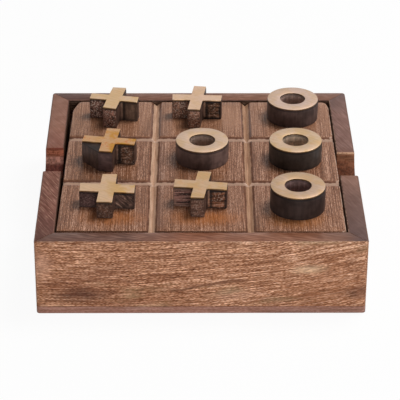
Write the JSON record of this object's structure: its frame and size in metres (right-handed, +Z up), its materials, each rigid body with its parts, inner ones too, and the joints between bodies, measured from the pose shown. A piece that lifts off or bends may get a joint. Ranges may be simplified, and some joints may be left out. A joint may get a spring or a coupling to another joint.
{
  "type": "tic-tac-toe and solitaire board",
  "caption": "Shallow square hardwood box with finger notches, a loose reversible board for tic-tac-toe and solitaire in its rim, brass-topped cross and ring pieces, and balls stored below.",
  "frame": {"origin": "middle of the underside of the box", "axes": "+Z up, +Y from the front wall to the back wall, +X to the right seen from the front"},
  "size_m": [0.127, 0.127, 0.0413],
  "materials": {
    "box_wood": "satin",
    "board_wood": "satin",
    "ledge_wood": "matte",
    "dark_wood": "satin",
    "brass": "satin",
    "ball_wood": "satin"
  },
  "bodies": {
    "box": {"wall_front": "box_wood", "wall_back": "box_wood", "wall_left": "box_wood", "wall_right": "box_wood", "base_panel": "box_wood", "ledge_front": "ledge_wood", "ledge_back": "ledge_wood", "ledge_left": "ledge_wood", "ledge_right": "ledge_wood"},
    "board": {"board": "board_wood"},
    "cross_1": {"cross_1_wood": "dark_wood", "cross_1_brass": "brass"},
    "cross_2": {"cross_2_wood": "dark_wood", "cross_2_brass": "brass"},
    "cross_3": {"cross_3_wood": "dark_wood", "cross_3_brass": "brass"},
    "cross_4": {"cross_4_wood": "dark_wood", "cross_4_brass": "brass"},
    "cross_5": {"cross_5_wood": "dark_wood", "cross_5_brass": "brass"},
    "ring_1": {"ring_1_wood": "dark_wood", "ring_1_brass": "brass"},
    "ring_2": {"ring_2_wood": "dark_wood", "ring_2_brass": "brass"},
    "ring_3": {"ring_3_wood": "dark_wood", "ring_3_brass": "brass"},
    "ring_4": {"ring_4_wood": "dark_wood", "ring_4_brass": "brass"},
    "balls": {"solitaire_balls": "ball_wood"}
  },
  "joints": [
    {"name": "board_lift", "type": "slide", "parent": "box", "child": "board", "axis": [0, 0, 1], "range_m": [0, 0.06]},
    {"name": "cross_1_lift", "type": "slide", "parent": "board", "child": "cross_1", "axis": [0, 0, 1], "range_m": [0, 0.04]},
    {"name": "cross_2_lift", "type": "slide", "parent": "board", "child": "cross_2", "axis": [0, 0, 1], "range_m": [0, 0.04]},
    {"name": "cross_3_lift", "type": "slide", "parent": "board", "child": "cross_3", "axis": [0, 0, 1], "range_m": [0, 0.04]},
    {"name": "cross_4_lift", "type": "slide", "parent": "board", "child": "cross_4", "axis": [0, 0, 1], "range_m": [0, 0.04]},
    {"name": "cross_5_lift", "type": "slide", "parent": "board", "child": "cross_5", "axis": [0, 0, 1], "range_m": [0, 0.04]},
    {"name": "ring_1_lift", "type": "slide", "parent": "board", "child": "ring_1", "axis": [0, 0, 1], "range_m": [0, 0.04]},
    {"name": "ring_2_lift", "type": "slide", "parent": "board", "child": "ring_2", "axis": [0, 0, 1], "range_m": [0, 0.04]},
    {"name": "ring_3_lift", "type": "slide", "parent": "board", "child": "ring_3", "axis": [0, 0, 1], "range_m": [0, 0.04]},
    {"name": "ring_4_lift", "type": "slide", "parent": "board", "child": "ring_4", "axis": [0, 0, 1], "range_m": [0, 0.04]},
    {"name": "balls_lift", "type": "slide", "parent": "box", "child": "balls", "axis": [0, 0, 1], "range_m": [0, 0.008]}
  ]
}
